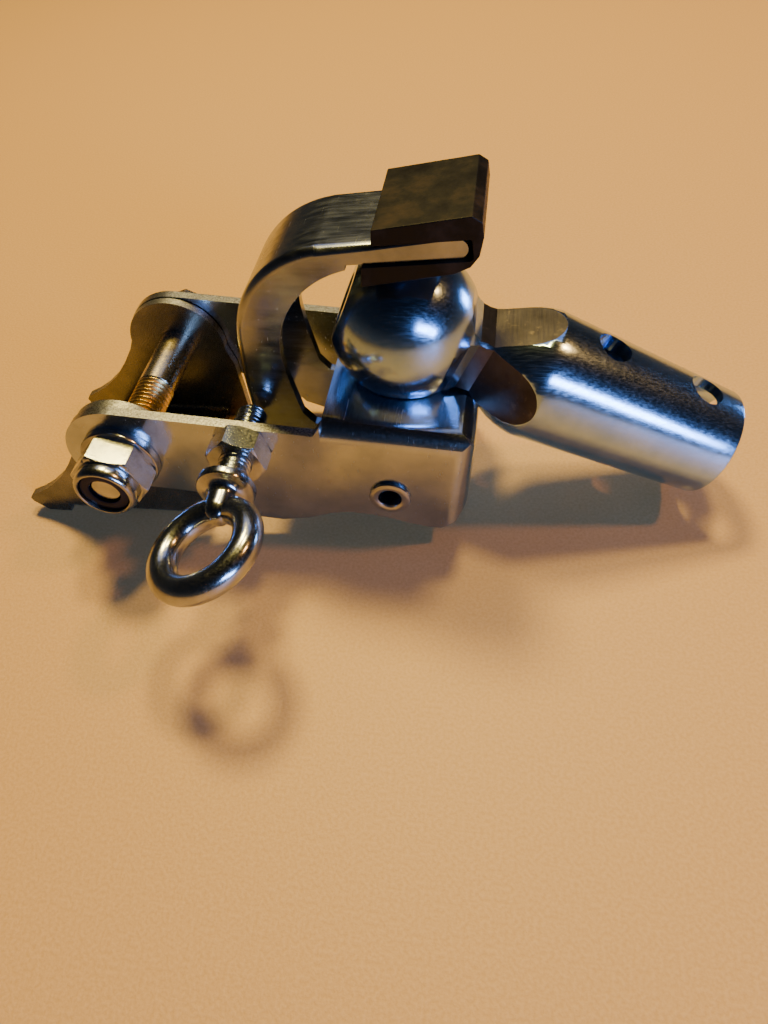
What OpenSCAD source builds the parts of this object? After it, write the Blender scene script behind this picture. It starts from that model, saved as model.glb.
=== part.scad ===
// Bicycle trailer hitch: coupler with hook over a ball, yoke for the bicycle, ball tube for the drawbar.
// Millimetres. X runs from the bicycle to the trailer, Y across, Z up.
// Origin on the flat base of the yoke, below the clamp bolt. Everything is symmetric about Y = 0 except the eye bolt.

/* [Stance] */
// Height of the clamp bolt above the base of the yoke
bolt_h = 27.5; // [24:0.5:34]
// Nose-down angle of the coupler on its bolt, degrees
nose_down = 5.5; // [3:0.5:8]
// Angle of the ball tube below level, degrees
tube_down = 24.6; // [24:0.1:26]

/* [Coupler housing] */
// Inside width between ears
inner_w = 46; // [42:0.5:52]
// Sheet thickness of the housing
sheet = 2.75; // [2:0.25:3.5]
// Radius of the ears about the clamp bolt
ear_r = 14.5; // [13.5:0.5:16]
// Height of the top panel above the clamp bolt
panel_z = 17.7; // [16.5:0.1:19]
// Start of the top panel from the clamp bolt
panel_x = 51.9; // [49:0.1:53]
// End wall from the clamp bolt
end_x = 88.8; // [88:0.1:92]
// Outside radius of the folds
fold_r = 5; // [4:0.5:6]
// Depth of the cheeks below the clamp bolt
cheek_z = 18.3; // [17:0.1:20]

/* [Ball and tube] */
// Ball diameter
ball_d = 36.6; // [35:0.1:37.5]
// Distance of the ball from the clamp bolt
ball_x = 68.8; // [68:0.1:69.5]
// Radius of the seat at the top of the panel
seat_r = 13; // [11.5:0.1:14]
// Tube diameter at the open end
tube_d = 27.8; // [26.5:0.1:28.5]
// Tube diameter behind the neck
neck_d = 32.4; // [30:0.1:33]
// Tube wall
tube_t = 2; // [1.5:0.25:2.5]
// Length from ball centre to the open end
tube_l = 85; // [84:1:89]
// Diameter of the cross holes in the tube
cross_d = 9; // [7:0.5:10.5]
// Distance of the first cross hole from the ball centre
cross_x = 47.5; // [46:0.5:52]
// Spacing of the cross holes
cross_gap = 26.5; // [22:0.5:28]

/* [Hook] */
// Width of the hook lever
hook_w = 24; // [20:0.5:28]
// Sheet thickness of the hook lever
hook_t = 2.5; // [2:0.25:3]
// Width of the plastic cap
cap_w = 26; // [22:0.5:30]
// Diameter of the pivot rivet
rivet_d = 8; // [7:0.5:9]
// Hole through the pivot rivet
rivet_bore = 5.5; // [4:0.5:6]
// Drop of the pivot below the clamp bolt
pivot_drop = 3.6; // [3:0.1:4.5]

/* [Yoke] */
// Sheet thickness of the yoke
yoke_t = 2.5; // [2:0.25:3]
// Radius of the yoke about the clamp bolt
yoke_r = 14.2; // [12.5:0.1:15]
// Diameter of the fixing hole in the base
base_hole = 10.5; // [8:0.5:12]

/* [Fasteners] */
// Clamp bolt thread diameter
bolt_d = 10; // [8:1:10]
// Width across flats of the clamp nut
nut_af = 17; // [16:0.5:18]
// Washer diameter
washer_d = 20; // [19:0.5:22]
// Washer thickness
washer_t = 2.5; // [1.5:0.25:3]
// Eye bolt thread diameter
eye_d = 8; // [6:1:8]
// Outside diameter of the ring
ring_d = 28.5; // [25:0.5:32]
// Thickness of the ring
ring_t = 6.8; // [5.5:0.1:8]
// Distance of the ring centre from the mid plane
ring_y = 57.5; // [54:0.5:62]

/* [Hidden] */
$fn = 64;
play = 0.3;
run = 0.08;
ball_r = ball_d / 2;
ball_z = panel_z + sqrt(ball_r * ball_r - seat_r * seat_r);
half_in = inner_w / 2;
half_out = half_in + sheet;
yoke_out = half_in - play;
yoke_in = yoke_out - yoke_t;
pivot = [ball_x + 0.5, -pivot_drop];
hook_half = hook_w / 2;
tip_slope = 9.6;
hook_c = [ball_x - 12.3, ball_z - 1.1];
hook_r = ball_r + 8.15;
inner_c = [ball_x - 4.1, ball_z - 2.3];
inner_r = ball_r + 5.75;
tip_z = hook_c[1] + hook_r / cos(tip_slope);
tube_r = tube_d / 2;
neck_r = neck_d / 2;
neck_h = 8;
neck_low = 6.2;
neck_x = 20;
flat_x = neck_x + (neck_r - neck_h) * 1.75;
cut_x = 15.5;
eye_x = 32.5;
eye_z = 9;
eye_tip = 14;
nut_t = 7.5;
collar_t = 3.4;
head_t = 6.4;
nut_y = half_out + washer_t;
eye_nut_t = 6.5;
ring_r = (ring_d - ring_t) / 2;

// Places coupler pieces: drawn about the clamp bolt, tipped nose-down
module tipped() {
    translate([0, 0, bolt_h]) rotate([0, nose_down, 0]) children();
}

// Extrudes a side outline (x, z) across the mid plane
module across(width) {
    rotate([90, 0, 0]) linear_extrude(height = width, center = true) children();
}

// A rod along Y
module y_rod(x, z, r, y0, y1) {
    translate([x, y0, z]) rotate([-90, 0, 0]) cylinder(r = r, h = y1 - y0);
}

// Removes a square corner outside a fold: corner at the origin, metal in -x and -y
module corner(r) {
    difference() {
        translate([-r, -r]) square(r + 2);
        translate([-r, -r]) circle(r);
    }
}

// Side outline of the housing
module housing_side() {
    intersection() {
        circle(ear_r);
        translate([-30, -10.8]) square(60);
    }
    difference() {
        polygon([[0, ear_r], [panel_x - 1.7, ear_r], [panel_x, panel_z], [end_x, panel_z], [end_x, -6.3],
            [end_x - 2.3, -11.7], [end_x - 5.8, -14], [end_x - 8.8, -14.2], [75, -13.6], [69.4, -12.4],
            [64.6, -11.8], [58.8, -11.9], [54.2, -13.1], [47.9, 2.1 - cheek_z], [40.3, -cheek_z],
            [33.3, 0.1 - cheek_z], [26, 3.6 - cheek_z], [17, -10.8], [0, -10.8]]);
        translate([end_x, panel_z]) corner(fold_r);
    }
}

// Space inside the folded sheet
module housing_inside() {
    r = fold_r - sheet;
    top = panel_z - sheet;
    right = end_x - sheet;
    difference() {
        translate([-40, -half_in, -60]) cube([40 + right, inner_w, 60 + top]);
        across(inner_w + 2) translate([right, top]) corner(r);
        for (s = [0, 1]) mirror([0, s, 0]) {
            translate([panel_x - 60, half_in, top]) rotate([90, 0, 90]) linear_extrude(height = 200) corner(r);
            translate([right, half_in, -70]) linear_extrude(height = 140) corner(r);
        }
    }
    translate([-40, -half_in, -60]) cube([40 + panel_x, inner_w, 120]);
}

// Pressed and folded housing
module coupler_housing() {
    color("silver") tipped() difference() {
        union() {
            difference() {
                across(half_out * 2) housing_side();
                housing_inside();
                for (s = [0, 1]) mirror([0, s, 0]) {
                    translate([panel_x, half_out, panel_z]) rotate([90, 0, 90]) linear_extrude(height = 60)
                        corner(fold_r);
                    translate([end_x, half_out, -30]) linear_extrude(height = 80) corner(fold_r);
                }
            }
            intersection() {
                translate([ball_x, 0, ball_z]) sphere(r = ball_r + play + sheet);
                translate([ball_x - 20, -20, panel_z - 9.5]) cube([40, 40, 8.5]);
            }
        }
        translate([ball_x, 0, ball_z]) sphere(r = ball_r + play);
        translate([ball_x, 0, 0]) cylinder(r = seat_r * 0.55, h = panel_z);
        y_rod(0, 0, bolt_d / 2 + 0.2, -half_out - 1, half_out + 1);
        y_rod(pivot[0], pivot[1], rivet_d / 2 + 0.05, -half_out - 1, half_out + 1);
        y_rod(eye_x, eye_z, eye_d / 2 + 0.05, -half_out - 1, 0);
    }
}

// Side outline of the hook lever
module hook_side() {
    difference() {
        union() {
            intersection() {
                translate(hook_c) circle(hook_r);
                translate([hook_c[0] - 40, hook_c[1] - 2]) square([40, 60]);
            }
            translate([hook_c[0], tip_z]) rotate(tip_slope) translate([-6, -4.2]) square([29, 4.2]);
            translate([hook_c[0], tip_z]) rotate(tip_slope) translate([23, -2.1]) circle(2.1);
            polygon([[hook_c[0] - hook_r, hook_c[1]], [hook_c[0] - hook_r, hook_c[1] - 10],
                [hook_c[0] - hook_r + 1.2, pivot[1] + 10.7], [hook_c[0] - hook_r + 3.4, pivot[1] + 4.6],
                [pivot[0] - 29, pivot[1] - 3.5], [pivot[0] - 17, pivot[1] - 7], [pivot[0], pivot[1] - 8.5],
                [pivot[0], pivot[1] + 8.5], [pivot[0] - 16, pivot[1] + 8.2], [pivot[0] - 21.5, pivot[1] + 9.2],
                [pivot[0] - 24.5, pivot[1] + 12.4], [inner_c[0] - inner_r + 0.8, inner_c[1] - 7],
                [inner_c[0] - inner_r, inner_c[1]]]);
            translate(pivot) circle(8.5);
        }
        difference() {
            translate(inner_c) circle(inner_r);
            translate([hook_c[0] + 0.5, ball_z]) square(60);
            translate([0, inner_c[1] - 60]) square([120, 55]);
        }
    }
}

// Hollow of the hook channel
module hook_hollow() {
    translate(hook_c) circle(hook_r - hook_t);
    translate([hook_c[0] - hook_r + hook_t, hook_c[1] - 12]) square([40, 12]);
    polygon([[hook_c[0] - hook_r + hook_t, hook_c[1] - 8], [hook_c[0] - hook_r + hook_t, hook_c[1] - 10],
        [hook_c[0] - hook_r + hook_t + 1.2, pivot[1] + 10.7], [hook_c[0] - hook_r + hook_t + 3.4, pivot[1] + 4.6],
        [pivot[0] - 31, pivot[1] - 12], [pivot[0] + 12, pivot[1] - 12], [pivot[0] + 12, hook_c[1] - 8]]);
    translate([hook_c[0], tip_z]) rotate(tip_slope) translate([-6, -20]) square([27, 20 - hook_t]);
}

// Stamped hook lever
module hook_lever() {
    color("silver") tipped() difference() {
        across(hook_w) hook_side();
        across(hook_w - 2 * hook_t) hook_hollow();
        y_rod(pivot[0], pivot[1], rivet_d / 2 + run, -hook_w, hook_w);
    }
}

// Plastic shoe on the tip of the hook, bearing on the ball
module hook_cap() {
    bx = ball_x - 1;
    bz = ball_z;
    low = (ball_r + play) / cos(15);
    color("#202020") tipped() across(cap_w) difference() {
        polygon([[bx - 7.8, bz + low - 7.8 * tan(15)], [bx + 11.5, bz + low + 11.5 * tan(15)],
            [bx + 14.6, bz + low + 4.9], [bx + 16.2, bz + low + 7.6], [bx + 16.6, bz + low + 11.8],
            [bx + 15.9, bz + low + 14.9], [bx + 13.8, bz + low + 16], [bx - 5.8, tip_z + 0.169 * 6.5 + 3.6],
            [bx - 5.8, tip_z - 1], [bx - 7.8, tip_z - 2]]);
        translate([hook_c[0], tip_z]) rotate(tip_slope) translate([-10, -4.35]) square([36, 4.5]);
    }
}

// Sweeps a round wire along a list of points lying mostly in planes across Y
module wire(path, r, sides) {
    n = len(path);
    function dir(i) = path[min(i + 1, n - 1)] - path[max(i - 1, 0)];
    function unit(v) = v / norm(v);
    rings = [for (i = [0:n - 1]) let (t = unit(dir(i)), s = unit(cross([0, 1, 0], t)), u = cross(t, s))
        for (k = [0:sides - 1]) path[i] + r * (cos(k * 360 / sides) * s + sin(k * 360 / sides) * u)];
    walls = [for (i = [0:n - 2]) for (k = [0:sides - 1]) let (m = (k + 1) % sides)
        [i * sides + k, i * sides + m, (i + 1) * sides + m, (i + 1) * sides + k]];
    polyhedron(points = rings, faces = concat(walls, [[for (k = [sides - 1:-1:0]) k]],
        [[for (k = [0:sides - 1]) (n - 1) * sides + k]]));
}

// Torsion spring on the rivet: one leg in the lever, one under the panel
module hook_spring() {
    coil_r = rivet_d / 2 + 1.6;
    wire_r = 0.9;
    turns = 4.65;
    steps = 84;
    a0 = 262;
    pitch_y = 2;
    y0 = -pitch_y * turns / 2;
    coil = [for (i = [0:steps]) let (a = a0 - 360 * turns * i / steps)
        [pivot[0] + coil_r * cos(a), y0 + pitch_y * turns * i / steps, pivot[1] + coil_r * sin(a)]];
    leg_a = coil[0] + [-31.2, 0, 4.9];
    leg_b = coil[steps] + [9, 0, 10];
    color("gray") tipped() wire(concat([leg_a], coil, [leg_b]), wire_r, 8);
}

// Hollow rivet with rolled rims
module pivot_rivet() {
    r = rivet_d / 2;
    b = rivet_bore / 2;
    color("silver") tipped() translate([pivot[0], 0, pivot[1]]) rotate([90, 0, 0]) rotate_extrude() union() {
        translate([b, -half_out - 0.6]) square([r - b, half_out * 2 + 1.2]);
        for (s = [0, 1]) mirror([0, s]) {
            translate([b + 0.65, half_out + 0.65]) circle(0.65);
            translate([b + 0.65, half_out]) square([r - b, 1.3]);
            translate([r + 0.65, half_out + 0.65]) circle(0.65);
        }
    }
}

module spacer() {
    y_gap = 0.15;
    translate([pivot[0], hook_half + y_gap, pivot[1]]) rotate([-90, 0, 0]) difference() {
        cylinder(r = rivet_d / 2 + 2.5, h = half_in - hook_half - 2 * y_gap);
        translate([0, 0, -1]) cylinder(r = rivet_d / 2 + 0.1, h = half_in);
    }
}

// Tube on the rivet, near side
module spacer_near() {
    color("silver") tipped() mirror([0, 1, 0]) spacer();
}

// Tube on the rivet, far side
module spacer_far() {
    color("silver") tipped() spacer();
}

// Side outline of the yoke, about the clamp bolt
module yoke_side() {
    circle(yoke_r);
    difference() {
        polygon([[-11.8, 7.5], [-13.6, 2.2], [-15.8, -2.2], [-19.4, -7.3], [-23.8, -12.6], [-28.8, -16.9],
            [-33, -19.6], [-37, -21.6], [-37.8, -22.8], [-37.3, -24.2], [-34, -bolt_h], [16.5, -bolt_h],
            [16.2, -16.9], [15.8, -7.1], [13.4, 1.2], [10.8, 8.8]]);
        translate([16.5, -bolt_h]) mirror([0, 1]) corner(3);
    }
}

// Folded U bracket that carries the clamp bolt
module mounting_yoke() {
    base_x0 = -27;
    base_x1 = 9.5;
    out_r = yoke_t + 1.5;
    color("silver") translate([0, 0, bolt_h]) difference() {
        across(yoke_out * 2) yoke_side();
        difference() {
            translate([-60, -yoke_in, -bolt_h + yoke_t]) cube([120, yoke_in * 2, 80]);
            for (s = [0, 1]) mirror([0, s, 0]) translate([-70, yoke_in, -bolt_h + yoke_t])
                rotate([90, 0, 90]) linear_extrude(height = 140) mirror([0, 1]) corner(1.5);
        }
        translate([-60, -yoke_in, -bolt_h - 1]) cube([60 + base_x0, yoke_in * 2, 80]);
        translate([base_x1, -yoke_in, -bolt_h - 1]) cube([60, yoke_in * 2, 80]);
        for (s = [0, 1]) mirror([0, s, 0]) translate([base_x0, yoke_out, -bolt_h])
            rotate([90, 0, 90]) linear_extrude(height = base_x1 - base_x0) mirror([0, 1]) corner(out_r);
        y_rod(0, 0, bolt_d / 2 + run, -30, 30);
        translate([-9, 0, -bolt_h - 1]) cylinder(d = base_hole, h = yoke_t + 2);
    }
}

// Hexagon prism with turned edges, standing on its face
module hex(af, h, turned_low, turned_high) {
    r = af / sqrt(3);
    c = (r - af / 2) * tan(30);
    intersection() {
        cylinder(r = r, h = h, $fn = 6);
        rotate_extrude() polygon([[0, 0], [turned_low ? af / 2 : r, 0], [r, turned_low ? c : 0],
            [r, turned_high ? h - c : h], [turned_high ? af / 2 : r, h], [0, h]]);
    }
}

// Hexagon bolt through ears and yoke
module clamp_bolt() {
    color("silver") tipped() {
        y_rod(0, 0, bolt_d / 2, 1 - nut_y - nut_t - collar_t + 0.6, nut_y + 1);
        translate([0, 1 - nut_y - nut_t - collar_t + 0.6, 0]) rotate([90, 0, 0])
            cylinder(r1 = bolt_d / 2, r2 = bolt_d / 2 - 1, h = 1);
        translate([0, nut_y, 0]) rotate([-90, 30, 0]) hex(nut_af, head_t, false, true);
    }
}

module washer() {
    difference() {
        cylinder(d = washer_d, h = washer_t);
        translate([0, 0, -1]) cylinder(d = bolt_d + 0.5, h = washer_t + 2);
    }
}

// Washer under the bolt head
module washer_head() {
    color("silver") tipped() translate([0, half_out, 0]) rotate([-90, 0, 0]) washer();
}

// Washer under the nut
module washer_nut() {
    color("silver") tipped() translate([0, -half_out, 0]) rotate([90, 0, 0]) washer();
}

// Self-locking nut with domed collar
module clamp_nut() {
    collar = nut_af / 2 - 0.6;
    color("silver") tipped() translate([0, -nut_y, 0]) rotate([90, 8, 0]) difference() {
        union() {
            hex(nut_af, nut_t, true, true);
            rotate_extrude() polygon([[0, nut_t - 1], [collar, nut_t - 1], [collar, nut_t + 1.2],
                [collar - 0.5, nut_t + 2.4], [collar - 1.4, nut_t + 3.1], [collar - 2.2, nut_t + collar_t],
                [0, nut_t + collar_t]]);
        }
        translate([0, 0, -1]) cylinder(d = bolt_d + 0.1, h = 30);
        translate([0, 0, nut_t + 0.1]) cylinder(r = bolt_d / 2 + 1.3, h = collar_t - 0.8);
    }
}

// Nylon ring in the collar of the nut
module nut_insert() {
    color("#15203a") tipped() translate([0, -nut_y - nut_t - 0.2, 0]) rotate([90, 0, 0]) difference() {
        cylinder(r = bolt_d / 2 + 1.2, h = collar_t - 1);
        translate([0, 0, -1]) cylinder(d = bolt_d + 0.1, h = 10);
    }
}

// Eye bolt with collar and ring
module eye_bolt() {
    collar_y = half_out + eye_nut_t + 6;
    color("silver") tipped() translate([eye_x, 0, eye_z]) difference() {
        union() {
            rotate([90, 0, 0]) rotate_extrude() polygon([[0, eye_tip], [eye_d / 2 - 0.9, eye_tip],
                [eye_d / 2, eye_tip + 0.9], [eye_d / 2, collar_y - 0.8], [5.2, collar_y], [7, collar_y + 0.6],
                [7, collar_y + 2.6], [5.6, collar_y + 3.2], [4.2, collar_y + 4.4], [3.8, ring_y - ring_r],
                [0, ring_y - ring_r]]);
            translate([0, -ring_y, 0]) rotate([0, -25, 0]) rotate_extrude() translate([ring_r, 0])
                circle(ring_t / 2);
        }
    }
}

// Lock nut of the eye bolt
module eye_nut() {
    color("silver") tipped() translate([eye_x, -half_out, eye_z]) rotate([90, 12, 0]) difference() {
        hex(13, eye_nut_t, true, true);
        translate([0, 0, -1]) cylinder(d = eye_d + 0.1, h = 20);
    }
}

// Outline of the flats between ball and tube, seen along one pair of them
module neck_side(low) {
    polygon([[0, -low], [neck_x + 2.3, -low], [flat_x, -neck_r], [flat_x, -neck_r - 4], [tube_l + 1, -neck_r - 4],
        [tube_l + 1, neck_r + 4], [flat_x, neck_r + 4], [flat_x, neck_r], [neck_x, neck_h], [0, neck_h]]);
}

// Slightly conical tube formed to a ball, with four flats at the neck
module ball_tube() {
    bore_r = tube_r - tube_t;
    color("silver") tipped() translate([ball_x, 0, ball_z]) rotate([0, tube_down - nose_down, 0]) difference() {
        union() {
            intersection() {
                sphere(r = ball_r);
                translate([-cut_x, -30, -30]) cube(60);
            }
            intersection() {
                rotate([0, 90, 0]) rotate_extrude() polygon([[0, 0], [neck_r, 0], [neck_r, flat_x],
                    [tube_r, tube_l], [0, tube_l]]);
                across(80) neck_side(neck_low);
                rotate([90, 0, 0]) across(80) neck_side(neck_h);
            }
        }
        sphere(r = ball_r - tube_t);
        rotate([0, 90, 0]) rotate_extrude() polygon([[0, -30], [6.4, -30], [6.4, 0], [neck_low - 1.7, 0],
            [neck_low - 1.7, neck_x + 2], [bore_r, flat_x + 2.5], [bore_r, tube_l + 1], [0, tube_l + 1]]);
        for (i = [0, 1]) translate([cross_x + i * cross_gap, 0, -30]) cylinder(d = cross_d, h = 60);
    }
}

coupler_housing();
hook_lever();
hook_cap();
hook_spring();
pivot_rivet();
spacer_near();
spacer_far();
mounting_yoke();
clamp_bolt();
washer_head();
washer_nut();
clamp_nut();
nut_insert();
eye_bolt();
eye_nut();
ball_tube();
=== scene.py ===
# Bicycle trailer hitch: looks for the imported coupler, hook, yoke, ball tube and fasteners.
import math
import bpy
import bmesh
from mathutils import Matrix, Vector


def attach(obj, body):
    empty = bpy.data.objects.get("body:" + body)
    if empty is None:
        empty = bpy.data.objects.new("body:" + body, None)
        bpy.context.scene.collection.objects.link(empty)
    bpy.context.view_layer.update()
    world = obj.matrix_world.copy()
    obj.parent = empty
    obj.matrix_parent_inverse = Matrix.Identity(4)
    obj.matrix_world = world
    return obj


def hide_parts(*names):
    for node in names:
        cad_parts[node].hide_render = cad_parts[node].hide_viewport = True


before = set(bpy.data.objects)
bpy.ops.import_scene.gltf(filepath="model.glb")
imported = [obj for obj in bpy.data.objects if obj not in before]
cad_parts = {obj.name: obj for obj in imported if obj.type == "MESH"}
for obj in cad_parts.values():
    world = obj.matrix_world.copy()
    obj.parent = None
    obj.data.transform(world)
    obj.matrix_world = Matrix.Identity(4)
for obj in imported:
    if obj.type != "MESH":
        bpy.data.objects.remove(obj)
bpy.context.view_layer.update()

MM = 0.001
BOLT_H = 27.5 * MM
NOSE_DOWN = math.radians(5.5)
TUBE_DOWN = math.radians(24.6)
# The coupler's pieces are drawn about the clamp bolt with the coupler level, then tipped nose-down
TIPPED = Matrix.Translation((0, 0, BOLT_H)) @ Matrix.Rotation(NOSE_DOWN, 4, "Y")
LEVEL = TIPPED.inverted()
# Axes that lie across the coupler, as (x, z) in mm about the clamp bolt
EYE_AXIS = (32.5, 9)
PIVOT_AXIS = (69.3, -3.6)
# Centres in mm about the clamp bolt: the ball, and the arc of the hook's web over it
BALL_CENTRE = Vector((68.8, 0, 30.58))
WEB_CENTRE = Vector((56.5, 0, 29.5))
# Points closer than this are one point: in a drawn piece, in a copied solid, and in the copied hook, where a
# step of 0.04 mm between arc and straight would stop the rounding of its bend
WELD = 0.002 * MM
SOLID_WELD = 0.01 * MM
HOOK_WELD = 0.06 * MM
# Faces of a copied solid that differ by less than this are one face
SAME_FACE = math.radians(0.6)
# Scales of a piece's own coordinates: mm all round, and drawn out across the coupler
EVEN = (1000, 1000, 1000)
ACROSS = (1000, 120, 1000)

# The camera solved from the photo: place, right and up in the row frame, focal length in pixels
CAMERA_PLACE = (0.09424, -0.14707, 0.157888)
CAMERA_RIGHT = Vector((0.98808, 0.1339, -0.07585))
CAMERA_UP = Vector((-0.05447, 0.7652, 0.64148))
FOCAL_PIXELS = 739.7
PHOTO_HEIGHT = 1024
SENSOR = 36


def place_camera():
    back = CAMERA_RIGHT.cross(CAMERA_UP).normalized()
    up = back.cross(CAMERA_RIGHT).normalized()
    turn = Matrix((CAMERA_RIGHT.normalized(), up, back)).transposed()
    data = bpy.data.cameras.new("camera")
    camera = bpy.data.objects.new("camera", data)
    bpy.context.scene.collection.objects.link(camera)
    camera.matrix_world = Matrix.Translation(CAMERA_PLACE) @ turn.to_4x4()
    data.sensor_width = SENSOR
    data.lens = FOCAL_PIXELS * SENSOR / PHOTO_HEIGHT
    data.clip_start = 0.005
    data.clip_end = 20
    bpy.context.scene.camera = camera


# Building blocks of a material
def colour(code):
    """An sRGB hex value as a linear colour."""
    parts = [int(code[i:i + 2], 16) / 255 for i in (1, 3, 5)]
    return tuple(p / 12.92 if p <= 0.04045 else ((p + 0.055) / 1.055) ** 2.4 for p in parts) + (1.0,)


def add(mat, kind, links=None, **settings):
    """Adds one node: settings are its options, links its socket values."""
    node = mat.node_tree.nodes.new("ShaderNode" + kind)
    for key, value in settings.items():
        setattr(node, key, value)
    for key, value in (links or {}).items():
        socket = node.inputs[key]
        if isinstance(value, bpy.types.NodeSocket):
            mat.node_tree.links.new(value, socket)
        else:
            socket.default_value = value
    return node


def mapped(mat, scale=EVEN, turn=(0, 0, 0)):
    """The piece's own coordinates, in mm unless another scale is given."""
    where = add(mat, "TexCoord").outputs["Object"]
    return add(mat, "Mapping", {"Vector": where, "Scale": scale, "Rotation": turn}).outputs["Vector"]


def noise(mat, where, scale, detail, rough):
    values = {"Vector": where, "Scale": scale, "Detail": detail, "Roughness": rough}
    return add(mat, "TexNoise", values).outputs["Fac"]


def ramp(mat, value, *stops):
    """A ramp through stops, each its place and a hex colour or a grey."""
    node = add(mat, "ValToRGB", {"Fac": value})
    points = node.color_ramp.elements
    while len(points) < len(stops):
        points.new(0.5)
    for point, (place, tone) in zip(points, stops):
        point.position = place
        point.color = colour(tone) if isinstance(tone, str) else (tone, tone, tone, 1)
    return node.outputs["Color"]


def spread(mat, value, low, high, start=0.0, end=1.0):
    """Maps what lies between start and end to what lies between low and high."""
    values = {"Value": value, "From Min": start, "From Max": end, "To Min": low, "To Max": high}
    return add(mat, "MapRange", values).outputs["Result"]


def blend(mat, share, under, over):
    return add(mat, "MixRGB", {"Fac": share, "Color1": under, "Color2": over}).outputs["Color"]


def maths(mat, how, *values):
    return add(mat, "Math", dict(enumerate(values)), operation=how).outputs["Value"]


def new_material(name):
    mat = bpy.data.materials.new(name)
    mat.use_nodes = True
    mat.node_tree.nodes.clear()
    return mat


def finish_material(mat, look, height, strength, depth=0.0001):
    """Adds the shader: look holds its values, and height becomes fine relief."""
    bump = add(mat, "Bump", {"Height": height, "Strength": strength, "Distance": depth}).outputs["Normal"]
    shader = add(mat, "BsdfPrincipled", {**look, "Normal": bump})
    add(mat, "OutputMaterial", {"Surface": shader.outputs["BSDF"]})
    return mat


# Materials
def tear_edges(mat, in_mm, edge_mm, tone, rough, height):
    """Torn, grainy grey metal on sheared faces further out along Y than edge_mm."""
    normal = add(mat, "NewGeometry").outputs["True Normal"]
    sideways = maths(mat, "ABSOLUTE", add(mat, "SeparateXYZ", {"Vector": normal}).outputs["Y"])
    out = maths(mat, "ABSOLUTE", add(mat, "SeparateXYZ", {"Vector": in_mm}).outputs["Y"])
    sheared = spread(mat, sideways, 1.0, 0.0, 0.2, 0.32)
    cut_face = maths(mat, "MULTIPLY", sheared, maths(mat, "GREATER_THAN", out, edge_mm))
    tear = noise(mat, in_mm, 2.2, 4.0, 0.7)
    torn = ramp(mat, tear, (0.36, "#55565A"), (0.64, "#A3A5AA"))
    tone = blend(mat, cut_face, tone, torn)
    rough = maths(mat, "ADD", rough, maths(mat, "MULTIPLY", cut_face, 0.14))
    height = maths(mat, "MULTIPLY_ADD", maths(mat, "MULTIPLY", cut_face, tear), 6.0, height)
    return tone, rough, height


def zinc(name, light, deep, rough, streaks, grain_mm, scratch, edge_mm=None):
    """Bright zinc plating: faint clouding, handling smudges, grain and fine scratches. The grain is longest
    where streaks is smallest. With edge_mm, sheared faces beyond it along Y are torn."""
    mat = new_material(name)
    in_mm = mapped(mat)
    # cloudy plating, browned a little where hands touched it
    touched = ramp(mat, noise(mat, in_mm, 0.33, 6.0, 0.72), (0.58, 0.0), (0.74, 0.28))
    tone = ramp(mat, noise(mat, in_mm, 0.09, 4.0, 0.6), (0.3, deep), (0.7, light))
    tone = blend(mat, touched, tone, colour("#A08F78"))
    # grain from rolling, brushing or drawing, and fine scratches aslant over it
    grain = noise(mat, mapped(mat, streaks), 1.0 / grain_mm, 3.0, 0.55)
    slanted = mapped(mat, (2200, 80, 400), (0.5, 0.3, 0.9))
    cuts = ramp(mat, noise(mat, slanted, 1.1, 2.0, 0.5), (0.68, 0.0), (0.74, 1.0))
    # grain, scratches and touched places each add to the roughness
    total = spread(mat, grain, rough - 0.05, rough + 0.06, 0.3, 0.7)
    total = maths(mat, "ADD", total, spread(mat, cuts, 0.0, 0.14 * scratch))
    total = maths(mat, "ADD", total, spread(mat, touched, 0.0, 0.22))
    height = maths(mat, "SUBTRACT", grain, cuts)
    if edge_mm:
        tone, total, height = tear_edges(mat, in_mm, edge_mm, tone, total, height)
    return finish_material(mat, {"Base Color": tone, "Metallic": 1.0, "Roughness": total}, height, 0.045)


def moulded_plastic(name, dark, dusty):
    """Moulded plastic: soft sheen, fine mould grain, scuffs in a second tone."""
    mat = new_material(name)
    in_mm = mapped(mat)
    grain = noise(mat, in_mm, 3.5, 4.0, 0.6)
    dust = noise(mat, in_mm, 0.13, 5.0, 0.65)
    look = {"Base Color": ramp(mat, dust, (0.5, dark), (0.72, dusty)), "IOR": 1.49,
            "Roughness": spread(mat, dust, 0.34, 0.56, 0.3, 0.7), "Specular IOR Level": 0.2}
    return finish_material(mat, look, grain, 0.12)


def laminate():
    """Pale laminate: an even warm beige with fine grain, too matt to mirror the part."""
    mat = new_material("pale_laminate")
    grain = noise(mat, mapped(mat), 1.3, 3.0, 0.55)
    tone = ramp(mat, grain, (0.35, "#C69C62"), (0.65, "#D0A772"))
    return finish_material(mat, {"Base Color": tone, "Roughness": 0.55}, grain, 0.3, 0.0003)


# Cool bright plating with rolling grain across the coupler, and torn grey metal round the sheared outline
SHEET = zinc("blue_zinc_on_pressed_sheet", "#BDC8D2", "#9FABB8", rough=0.2, streaks=ACROSS,
             grain_mm=0.35, scratch=0.6, edge_mm=22.9)
# The same plating, duller, with a darker and greyer tone as painted shade, so that the yoke stays dim behind
# the ears
YOKE_SHEET = zinc("zinc_darkened_for_painted_shade_on_yoke", "#85888E", "#63676C", rough=0.27, streaks=ACROSS,
                  grain_mm=0.35, scratch=0.6, edge_mm=20.25)
# Steel blue with long brush lines that run along the hook
HOOK_SHEET = zinc("brushed_zinc_on_hook", "#A4ACB6", "#7F8893", rough=0.21, streaks=(40, 320, 320),
                  grain_mm=0.4, scratch=0.4)
# Dark matt flats, scored across by the press, between two bright stretches of tube
NECK = zinc("scored_dull_zinc_on_neck_flats", "#565252", "#3A3736", rough=0.4, streaks=(1000, 60, 60),
            grain_mm=0.5, scratch=0.9)
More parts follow.
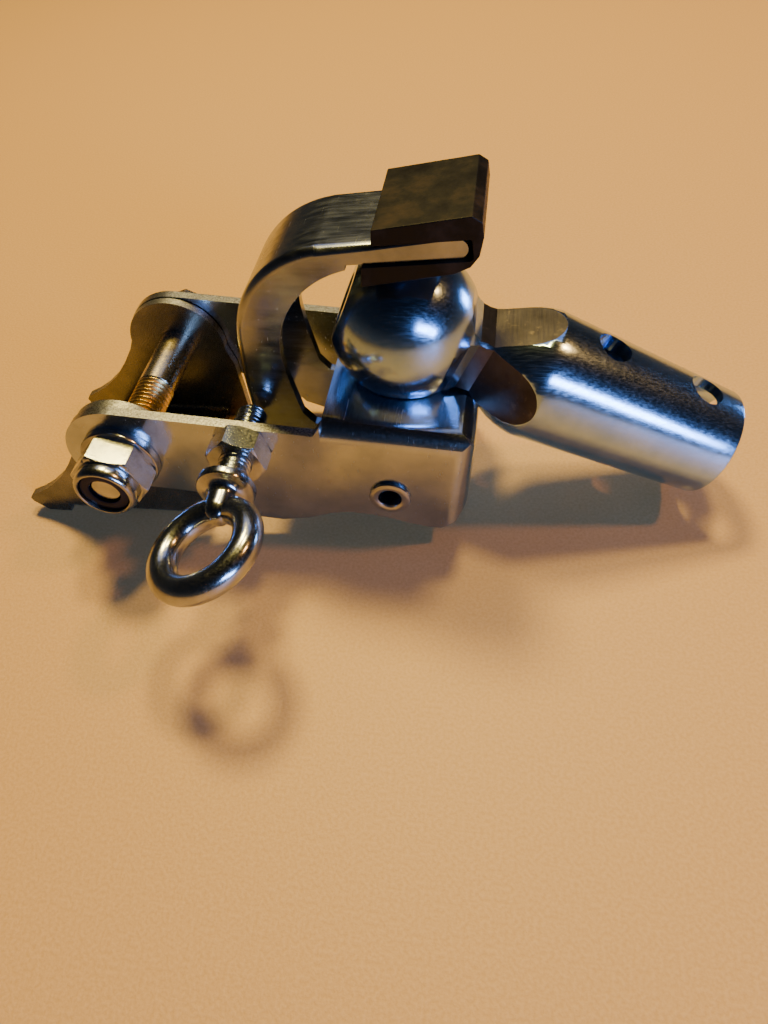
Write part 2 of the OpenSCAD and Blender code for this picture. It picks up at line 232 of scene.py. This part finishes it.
# The bluest and smoothest surface: long clear reflections over ball and tube
TUBE = zinc("blue_zinc_on_formed_tube", "#B4D0EE", "#98B8DC", rough=0.18, streaks=(100, 1000, 1000),
            grain_mm=0.4, scratch=0.3)
# Bright neutral silver with crisp glints on nuts, washers, eye, rivet and spacers
FASTENER = zinc("bright_zinc_on_fasteners", "#C0C6CC", "#83898F", rough=0.19, streaks=EVEN,
                grain_mm=0.5, scratch=0.2)
# Warm, slightly dull silver on the bolt's head and shank
BOLT = zinc("dull_zinc_on_bolt", "#C9BFA8", "#A2977D", rough=0.26, streaks=EVEN, grain_mm=0.5, scratch=0.2)
# Golden ridges on the thread between the ears: the gold is a painted reflection of warm light on the crests,
# while the shank of the same bolt stays dull silver
THREAD = zinc("zinc_with_painted_gold_glints_on_thread", "#FBDA94", "#D3AD63", rough=0.3, streaks=EVEN,
              grain_mm=0.5, scratch=0.0)
# Plain grey wire under the hook
WIRE = zinc("drawn_spring_wire", "#A9ABAE", "#85888C", rough=0.28, streaks=EVEN, grain_mm=0.3, scratch=0.2)
# Near black with a soft sheen and brown scuffs, the darkest form of the part
PLASTIC = moulded_plastic("black_moulded_polypropylene", "#080605", "#2A1E15")
# A thin dark blue ring inside the bright collar of the nut
NYLON = moulded_plastic("dark_blue_nylon", "#070A16", "#10182E")


def dress(piece, *mats):
    """Gives a piece its materials, the first on all faces."""
    piece.data.materials.clear()
    for mat in mats:
        piece.data.materials.append(mat)


# Helpers that edit and seat a piece
def only(piece):
    """Makes one piece the selected and the active one."""
    bpy.ops.object.select_all(action="DESELECT")
    piece.select_set(True)
    bpy.context.view_layer.objects.active = piece


def edit(piece):
    """Opens one piece in edit mode, with all of it selected."""
    only(piece)
    bpy.ops.object.mode_set(mode="EDIT")
    bpy.ops.mesh.select_mode(type="VERT")
    bpy.ops.mesh.select_all(action="SELECT")


def leave():
    bpy.ops.object.mode_set(mode="OBJECT")


def start_from_shape():
    """Bakes the place of a shape just added into its mesh, and opens it with all of it selected."""
    piece = bpy.context.object
    bpy.ops.object.transform_apply(location=True, rotation=True, scale=True)
    edit(piece)
    return piece


def pick(piece, kind, test):
    """In edit mode, selects just the vertices, edges or faces that pass a test."""
    bpy.ops.mesh.select_mode(type={"verts": "VERT", "edges": "EDGE", "faces": "FACE"}[kind])
    mesh = bmesh.from_edit_mesh(piece.data)
    for part in (mesh.verts, mesh.edges, mesh.faces):
        for item in part:
            item.select = False
    for item in getattr(mesh, kind):
        if test(item):
            item.select_set(True)
    mesh.select_flush_mode()
    bmesh.update_edit_mesh(piece.data)


def middle(item):
    """The middle of an edge or face."""
    return sum((v.co for v in item.verts), Vector()) / len(item.verts)


def push(x, y, z):
    """In edit mode, extrudes what is selected by so many mm."""
    bpy.ops.mesh.extrude_region_move(TRANSFORM_OT_translate={"value": (x * MM, y * MM, z * MM)})


def face_outward():
    """In edit mode, turns every face outward."""
    bpy.ops.mesh.select_all(action="SELECT")
    bpy.ops.mesh.normals_make_consistent(inside=False)


def fold_in(piece, kind, name, **settings):
    """Adds a modifier and applies it."""
    only(piece)
    modifier = piece.modifiers.new(name, kind)
    for key, value in settings.items():
        setattr(modifier, key, value)
    bpy.ops.object.modifier_apply(modifier=name)


def break_edges(piece, width, angle, segments=2):
    """Bevels every edge sharper than an angle, as deburring, tumbling or a mould leaves it."""
    fold_in(piece, "BEVEL", "broken_edges", width=width * MM, segments=segments, limit_method="ANGLE",
            angle_limit=math.radians(angle))


def cut_with(piece, cutter, how):
    """Combines a piece with a cutter and takes the cutter away."""
    fold_in(piece, "BOOLEAN", "cut", operation=how, object=cutter, solver="EXACT")
    bpy.data.objects.remove(cutter)


def joined(*parts):
    """Joins parts of one forging or one bar into one piece."""
    bpy.ops.object.select_all(action="DESELECT")
    for part in parts:
        part.select_set(True)
    bpy.context.view_layer.objects.active = parts[0]
    bpy.ops.object.join()
    return parts[0]


def slide(piece, x, z):
    """Moves a piece drawn about Y to its axis (x, z in mm about the clamp bolt)."""
    edit(piece)
    bpy.ops.transform.translate(value=(x * MM, 0, z * MM))
    leave()
    return piece


def settle(piece, name, body, mat, nodes, angle=32, turn=None):
    """Smooths a piece and seats it on its body in place of its solids. With turn, it was drawn in another
    frame and is moved into its place first. Without mat, it is dressed already."""
    only(piece)
    bpy.ops.object.transform_apply(location=True, rotation=True, scale=True)
    if turn:
        piece.data.transform(turn)
    edit(piece)
    bpy.ops.mesh.remove_doubles(threshold=WELD)
    face_outward()
    leave()
    bpy.ops.object.shade_smooth_by_angle(angle=math.radians(angle))
    fold_in(piece, "WEIGHTED_NORMAL", "flats_stay_flat", keep_sharp=True)
    piece.name = name
    piece.data.name = name
    if mat:
        dress(piece, mat)
    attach(piece, body)
    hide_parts(*nodes)


# Helpers that start a piece
def copied(node, name):
    piece = bpy.data.objects.new(name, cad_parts[node].data.copy())
    bpy.context.scene.collection.objects.link(piece)
    return piece


def open_whole(piece, weld=SOLID_WELD):
    """Opens a copied solid with its points merged and its flat faces in one piece."""
    edit(piece)
    bpy.ops.mesh.remove_doubles(threshold=weld)
    bpy.ops.mesh.dissolve_limited(angle_limit=SAME_FACE)


def end_of(node, name, start, width, angle):
    """The end of a coupler solid beyond a place along Y in mm, level and closed, with broken edges."""
    piece = copied(node, name)
    piece.data.transform(LEVEL)
    open_whole(piece)
    bpy.ops.mesh.select_all(action="SELECT")
    bpy.ops.mesh.bisect(plane_co=(0, start * MM, 0), plane_no=(0, 1, 0), clear_inner=True, use_fill=True)
    leave()
    break_edges(piece, width, angle)
    return piece


def lathe(name, steps, sides=48):
    """Draws a round piece about Y: a circle extruded and resized ring by ring. A step is a place along Y and
    a radius, in mm. The ends are closed, or the piece is hollow where the last step is the first again."""
    fill = "NOTHING" if steps[0] == steps[-1] else "NGON"
    start, radius = steps[0]
    bpy.ops.mesh.primitive_circle_add(vertices=sides, radius=radius * MM, fill_type=fill,
                                      location=(0, start * MM, 0), rotation=(math.radians(90), 0, 0))
    piece = start_from_shape()
    piece.name = name
    for (y0, r0), (y1, r1) in zip(steps, steps[1:]):
        push(0, y1 - y0, 0)
        if r1 != r0:
            bpy.ops.transform.resize(value=(r1 / r0, 1, r1 / r0), center_override=(0, y1 * MM, 0))
    bpy.ops.mesh.select_all(action="SELECT")
    bpy.ops.mesh.remove_doubles(threshold=WELD)
    face_outward()
    leave()
    return piece


def round_steps(radius, first, last, count):
    """Steps of a lathe along a ball's outline."""
    places = [first + (last - first) * i / count for i in range(count + 1)]
    return [(y, math.sqrt(radius ** 2 - y ** 2)) for y in places]


def straight_steps(first, last, count):
    """Steps of a lathe along a cone, from one step to another."""
    return [tuple(a + (b - a) * i / count for a, b in zip(first, last)) for i in range(count + 1)]


def cut_thread(name, y0, y1, crest, pitch, sides=36):
    """A thread about Y: the outline of one ridge, drawn point by point and wound up by a modifier."""
    depth = 0.58 * pitch
    # root, rising flank, crest, falling flank and root, each as (outward in mm, share of the pitch)
    ridge = [(0, 0.14), (depth, 0.3), (0, 0.2), (-depth, 0.3), (0, 0.06)]
    bpy.ops.mesh.primitive_plane_add(size=0.5 * MM, location=((crest - depth) * MM, y0 * MM, 0))
    piece = start_from_shape()
    piece.name = name
    bpy.ops.mesh.merge(type="CENTER")
    for outward, share in ridge:
        push(outward, share * pitch, 0)
    leave()
    fold_in(piece, "SCREW", "thread_turns", axis="Y", angle=math.radians(360), screw_offset=pitch * MM,
            iterations=int((y1 - y0) / pitch), steps=sides, render_steps=sides, use_merge_vertices=True,
            merge_threshold=WELD)
    edit(piece)
    bpy.ops.mesh.remove_doubles(threshold=WELD)
    bpy.ops.mesh.fill_holes(sides=0)
    face_outward()
    leave()
    return piece


# Floor and light
def lay_floor():
    """A large plane, a little under the yoke's base."""
    bpy.ops.mesh.primitive_plane_add(size=3, location=(0.1, 0.3, -0.3 * MM))
    floor = bpy.context.object
    floor.name = "floor"
    dress(floor, laminate())


def add_light(name, place, target, size, power, tint, roll=0):
    """A rectangle of light: places and size in metres, power in watts, roll in degrees."""
    data = bpy.data.lights.new(name, "AREA")
    data.shape = "RECTANGLE"
    data.size, data.size_y = size
    data.energy = power
    data.color = colour(tint)[:3]
    light = bpy.data.objects.new(name, data)
    bpy.context.scene.collection.objects.link(light)
    aim = (Vector(target) - Vector(place)).to_track_quat("-Z", "Y").to_matrix().to_4x4()
    light.matrix_world = Matrix.Translation(place) @ aim @ Matrix.Rotation(math.radians(roll), 4, "Z")


def light_studio():
    """Two warm panes and a lamp throw the shadows; sky, front and side windows fill the metal with blue."""
    add_light("window", (-0.12, 0.5, 1.0), (0.06, 0, 0.02), (0.18, 0.18), 14.0, "#FFDC6C")
    add_light("second_pane", (0.2, 0.36, 1.0), (0.06, 0, 0.02), (0.12, 0.12), 7.0, "#FFDC78")
    add_light("warm_lamp", (0.716, 0.092, 0.807), (0.1, 0, 0.0), (0.08, 0.08), 3.0, "#FFB45E")
    add_light("pale_sky", (0.0, 0.75, 1.05), (0.08, 0, 0.03), (1.1, 0.7), 2.6, "#7C9EEA")
    add_light("front_window", (0.69, -0.75, 0.37), (0.12, 0, 0.04), (0.5, 0.15), 10.0, "#8AB4FF", -35)
    add_light("side_window", (1.0, 0.55, 0.12), (0.08, 0, 0.04), (0.22, 0.2), 3.0, "#84B8FF")


def fill_room():
    """Walls for the metal to mirror: warm near the floor, darker and cooler upwards."""
    world = bpy.data.worlds.new("room_air")
    bpy.context.scene.world = world
    world.use_nodes = True
    back = world.node_tree.nodes["Background"]
    height = add(world, "SeparateXYZ", {"Vector": add(world, "TexCoord").outputs["Generated"]}).outputs["Z"]
    walls = ramp(world, height, (0.0, "#9A8F80"), (0.1, "#7E7A74"), (0.35, "#3E424A"), (1.0, "#20242B"))
    world.node_tree.links.new(walls, back.inputs["Color"])
    back.inputs["Strength"].default_value = 0.25


# The pieces
def broken_copy(node, name, body, mat, width, weld=SOLID_WELD, bends=None, bend_radius=0):
    """A copy of a solid with its cut edges broken, as deburring and plating leave them.
    Edges that pass the test in bends are rounded wider first, as bent sheet is."""
    piece = copied(node, name)
    open_whole(piece, weld)
    if bends:
        pick(piece, "edges", bends)
        bpy.ops.mesh.bevel(offset=bend_radius * MM, segments=5, affect="EDGES")
    leave()
    break_edges(piece, width, 28)
    settle(piece, name, body, mat, (node,))


def web_bend(edge):
    """Whether an edge of the hook is an outer bend between its web and a flange. The web runs up the arm on
    the bicycle's side, then over the ball as far as the shoe."""
    if len(edge.link_faces) != 2:
        return False
    arm_foot = -5
    arm_top = 31
    arm_x = 38
    shoe_x = 76
    hollow_r = 10
    flange, web = sorted(edge.link_faces, key=lambda face: -abs(face.normal.y))
    folded = abs(flange.normal.y) > 0.9 and abs(web.normal.y) < 0.4
    at = LEVEL @ middle(edge) / MM
    outward = (LEVEL.to_3x3() @ web.normal).dot(at - WEB_CENTRE)
    over_ball = at.z > arm_top and at.x < shoe_x
    up_the_arm = arm_foot < at.z <= arm_top and at.x < arm_x
    return (over_ball or up_the_arm) and outward > hollow_r and folded


def clamp_bolt():
    """Hexagon bolt: head behind the far ear, plain shank, and a thread from mid way to the nut."""
    head = end_of("clamp_bolt", "bolt_head", start=28.4, width=0.3, angle=25)
    shank = lathe("bolt_shank", [(28.8, 4.98), (0.2, 4.98), (-0.7, 4.2)])
    thread = cut_thread("bolt_thread", -37.0, -0.1, crest=4.93, pitch=1.5)
    tip = lathe("bolt_tip", [(-34.8, 4.7), (-36.2, 4.7), (-37.1, 3.9), (-37.4, 3.4)])
    # The thread's golden material is a painted reflection of warm light, not a plating of its own
    for part, mat in ((head, BOLT), (shank, BOLT), (thread, THREAD), (tip, FASTENER)):
        dress(part, mat)
    bolt = joined(head, shank, thread, tip)
    settle(bolt, "clamp_bolt_plated", "coupler", None, ("clamp_bolt",), turn=TIPPED)


def clamp_nut():
    """Self-locking nut: turned hexagon with a rolled-in collar that grips the nylon ring."""
    body = end_of("clamp_nut", "nut_body", start=-35.7, width=0.25, angle=28)
    collar = lathe("nut_collar", [
        (-35.2, 5.2), (-35.2, 7.6), (-35.9, 7.88), (-37.3, 7.9), (-38.2, 7.75), (-38.8, 7.4), (-39.1, 6.95),
        (-39.13, 6.6), (-38.95, 6.38), (-38.6, 6.3), (-35.9, 6.3), (-35.9, 5.2), (-35.2, 5.2)], 64)
    nut = joined(body, collar)
    settle(nut, "clamp_nut_plated", "coupler", FASTENER, ("clamp_nut",), turn=TIPPED)


def nylon_ring():
    """Nylon ring held by the collar: wide where the bolt has gone through, still narrow in front of it."""
    ring = lathe("nylon_ring", [
        (-36.0, 5.1), (-37.5, 5.1), (-37.6, 4.4), (-37.9, 3.95), (-38.2, 4.0), (-38.38, 4.5), (-38.4, 5.3),
        (-38.3, 6.0), (-38.0, 6.24), (-36.0, 6.24), (-36.0, 5.1)])
    settle(ring, "nylon_ring", "coupler", NYLON, ("nut_insert",), turn=TIPPED)


def wire_eye():
    """The eye: a round wire spun about the ring's centre, with a slightly rounded end that all but meets
    the neck."""
    wire_r = 3.38 * MM
    ring_y = -57.5 * MM
    start_y = -46.65 * MM
    bpy.ops.mesh.primitive_circle_add(vertices=28, radius=wire_r, fill_type="NGON",
                                      location=(0, start_y, 0), rotation=(0, math.radians(90), 0))
    wire = start_from_shape()
    bpy.ops.mesh.spin(steps=72, angle=math.radians(337), center=(0, ring_y, 0), axis=(0, 0, -1))
    bpy.ops.mesh.inset(thickness=0.5 * MM, depth=0.35 * MM)
    bpy.ops.mesh.select_all(action="SELECT")
    bpy.ops.mesh.remove_doubles(threshold=WELD)
    bpy.ops.mesh.fill_holes(sides=0)
    bpy.ops.mesh.select_all(action="SELECT")
    bpy.ops.transform.rotate(value=math.radians(25), orient_axis="Y", center_override=(0, ring_y, 0))
    leave()
    return wire


def eye_bolt():
    """Eye bolt: threaded shank, thin collar, round neck and wire eye."""
    thread = cut_thread("eye_thread", -38.6, -15.2, crest=3.96, pitch=1.25)
    tip = lathe("eye_tip", [(-14.05, 2.7), (-14.3, 3.1), (-15.6, 3.72), (-17.5, 3.72)])
    collar = lathe("eye_collar", [
        (-36.9, 3.5), (-37.6, 4.1), (-38.2, 5.3), (-38.7, 6.6), (-39.2, 6.98), (-40.6, 6.98), (-41.1, 6.7),
        (-41.4, 5.6), (-41.8, 4.6), (-42.6, 3.95), (-43.6, 3.7), (-46.65, 3.6), (-47.9, 3.38), (-49.0, 2.74),
        (-49.8, 1.75), (-50.2, 0.6)])
    bolt = slide(joined(thread, tip, collar, wire_eye()), *EYE_AXIS)
    settle(bolt, "eye_bolt_plated", "coupler", FASTENER, ("eye_bolt",), turn=TIPPED)


def rivet():
    """Hollow rivet with both rims rolled over."""
    half = [(0, 4.0), (25.6, 4.0), (25.78, 4.2), (25.8, 4.7), (26.0, 5.1), (26.4, 5.28), (26.8, 5.1),
            (27.02, 4.6), (27.05, 4.0), (27.0, 3.5), (26.7, 3.0), (26.2, 2.78), (25, 2.75)]
    other_half = [(-y, r) for y, r in reversed(half[1:])]
    tube = slide(lathe("rivet_tube", half + other_half + half[:1]), *PIVOT_AXIS)
    settle(tube, "rolled_rivet", "coupler", FASTENER, ("pivot_rivet",), turn=TIPPED)


def washer(name, node, y0, y1):
    """Turned washer with a rounded outer edge on its upper side."""
    side = 1 if y1 > y0 else -1
    ring = lathe(name, [
        (y0, 5.3), (y0, 9.7), (y0 + 0.3 * side, 10.0), (y1 - 0.7 * side, 10.0), (y1 - 0.3 * side, 9.85),
        (y1, 9.3), (y1, 5.6), (y1 - 0.3 * side, 5.3), (y0, 5.3)], 64)
    settle(ring, name, "coupler", FASTENER, (node,), turn=TIPPED)


def moulded_cap():
    """Plastic shoe: a C-shaped strip drawn station by station round the tip, pulled across and rounded. Each
    step extrudes the last end, then draws its inner point to the width that the next station has."""
    half_width = 13
    # the outer and the inner point of each station, as (x, z) in mm about the clamp bolt
    stations = [((60.0, 47.8), (60.0, 52.45)), ((66.0, 49.4), (66.0, 53.47)), ((79.3, 52.97), (79.3, 55.72)),
                ((82.4, 54.8), (82.3, 56.25)), ((84.0, 57.5), (82.8, 56.75)), ((84.38, 61.6), (82.2, 60.2)),
                ((83.7, 64.7), (82.0, 60.78)), ((81.6, 65.8), (81.2, 60.65)), ((62.0, 60.98), (62.0, 57.42))]
    ends = [[Vector((x, -half_width, z)) * MM for x, z in station] for station in stations]
    first_outer, first_inner = ends[0]
    bpy.ops.mesh.primitive_plane_add(size=1 * MM, location=first_outer)
    piece = start_from_shape()
    bpy.ops.mesh.merge(type="CENTER")
    push(*(first_inner - first_outer) / MM)
    for last_ends, (outer, inner) in zip(ends, ends[1:]):
        pick(piece, "verts", lambda v: min((v.co - end).length for end in last_ends) < SOLID_WELD)
        step = outer - last_ends[0]
        push(*step / MM)
        moved = last_ends[1] + step
        pick(piece, "verts", lambda v: (v.co - moved).length < SOLID_WELD)
        bpy.ops.transform.translate(value=inner - moved)
    bpy.ops.mesh.select_all(action="SELECT")
    push(0, 2 * half_width, 0)
    face_outward()
    leave()
    break_edges(piece, width=0.7, angle=34, segments=3)
    settle(piece, "cap_moulded", "hook", PLASTIC, ("hook_cap",), angle=46, turn=TIPPED)


def neck_die():
    """The die that presses the neck flat: square inside, a little closer below than above."""
    closer_below = 1.8 * MM
    # half the opening of the die at places along the tube
    halves = [(-30, 40), (10.6, 40), (11.2, 14.4), (14.2, 9.4), (16.4, 8.1), (20.0, 8.0), (34.6, 16.35),
              (38, 30), (95, 40)]
    die = lathe("neck_die", [(y, half * math.sqrt(2)) for y, half in halves], 4)
    edit(die)
    bpy.ops.transform.rotate(value=math.radians(45), orient_axis="Y", center_override=(0, 0, 0))
    pick(die, "verts", lambda v: v.co.z < 0 and 13 * MM < v.co.y < 21 * MM)
    bpy.ops.transform.translate(value=(0, 0, closer_below))
    leave()
    return die


def on_a_flat(face):
    """Whether a face of the tube lies about where the die presses: level flats, then rising ones."""
    flat_half = 8
    rise_from = 20
    rise = 0.572
    about = 1.6
    at = middle(face) / MM
    out = max(abs(at.x), abs(at.z))
    pressed_to = flat_half + max(0, at.y - rise_from) * rise
    squarely = min(abs(face.normal.x), abs(face.normal.z)) < 0.02 and -0.56 < face.normal.y < 0.2
    return 15.5 < at.y < 35.5 and out > 6 and squarely and abs(out - pressed_to) < about


def formed_tube():
    """Ball and tube in one: drawn along its run, pressed flat at the neck, hollowed and drilled across."""
    ball_r = 18.3
    inner_r = 16.3
    bore_r = 11.9
    length = 85
    cross_holes = (47.5, 74.0)
    cross_r = 4.5
    neck = [(14.0, 12.1), (15.2, 11.45), (16.6, 11.0), (18.2, 10.8), (20.0, 11.0), (22.0, 11.7),
            (24.5, 12.85), (27.0, 14.05), (29.5, 15.05), (32.0, 15.8)]
    taper = straight_steps((34.35, 16.2), (84.55, 13.92), 14)
    rim = [(length - 0.15, 13.78), (length, 13.5)]
    tube = lathe("ball_and_tube", round_steps(ball_r, -15.5, 13.0, 30) + neck + taper + rim, 96)
    cut_with(tube, neck_die(), "INTERSECT")
    back_hole = [(-20, 6.4), (-15.2, 6.4)]
    bore = [(16.4, 4.5), (22.0, 4.5), (36.85, bore_r), (length + 5, bore_r)]
    hollow = lathe("hollow", back_hole + round_steps(inner_r, -14.8, 15.4, 24) + bore, 64)
    cut_with(tube, hollow, "DIFFERENCE")
    for along in cross_holes:
        bpy.ops.mesh.primitive_cylinder_add(vertices=64, radius=cross_r * MM, depth=60 * MM,
                                            location=(0, along * MM, 0))
        drill = start_from_shape()
        leave()
        cut_with(tube, drill, "DIFFERENCE")
    dress(tube, TUBE, NECK)
    tube.active_material_index = 1
    edit(tube)
    pick(tube, "faces", on_a_flat)
    bpy.ops.object.material_slot_assign()
    leave()
    side = Vector((0, -1, 0))
    run = Vector((math.cos(TUBE_DOWN), 0, -math.sin(TUBE_DOWN)))
    axes = Matrix((side, run, side.cross(run))).transposed()
    place = Matrix.Translation(TIPPED @ (BALL_CENTRE * MM)) @ axes.to_4x4()
    settle(tube, "ball_and_tube", "drawbar_end", None, ("ball_tube",), angle=28, turn=place)


def spring():
    """Round spring wire, smoothed along and around."""
    piece = copied("hook_spring", "spring_wire")
    edit(piece)
    bpy.ops.mesh.remove_doubles(threshold=SOLID_WELD)
    bpy.ops.mesh.tris_convert_to_quads()
    leave()
    fold_in(piece, "SUBSURF", "round_wire", levels=1, render_levels=1)
    settle(piece, "spring_wire", "coupler", WIRE, ("hook_spring",), angle=60)


place_camera()
lay_floor()
light_studio()
fill_room()
for spacer in ("spacer_near", "spacer_far"):
    dress(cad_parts[spacer], FASTENER)
broken_copy("coupler_housing", "housing_shell", "coupler", SHEET, width=0.35)
# The yoke's darker plating is painted shade for where it sits between the ears
broken_copy("mounting_yoke", "yoke_bracket", "yoke", YOKE_SHEET, width=0.35)
broken_copy("hook_lever", "hook_formed", "hook", HOOK_SHEET, width=0.5, weld=HOOK_WELD,
            bends=web_bend, bend_radius=2.0)
moulded_cap()
formed_tube()
clamp_nut()
broken_copy("eye_nut", "eye_nut_plated", "coupler", FASTENER, width=0.25)
washer("washer_far", "washer_head", 25.75, 28.25)
washer("washer_near", "washer_nut", -25.75, -28.25)
clamp_bolt()
nylon_ring()
eye_bolt()
rivet()
spring()
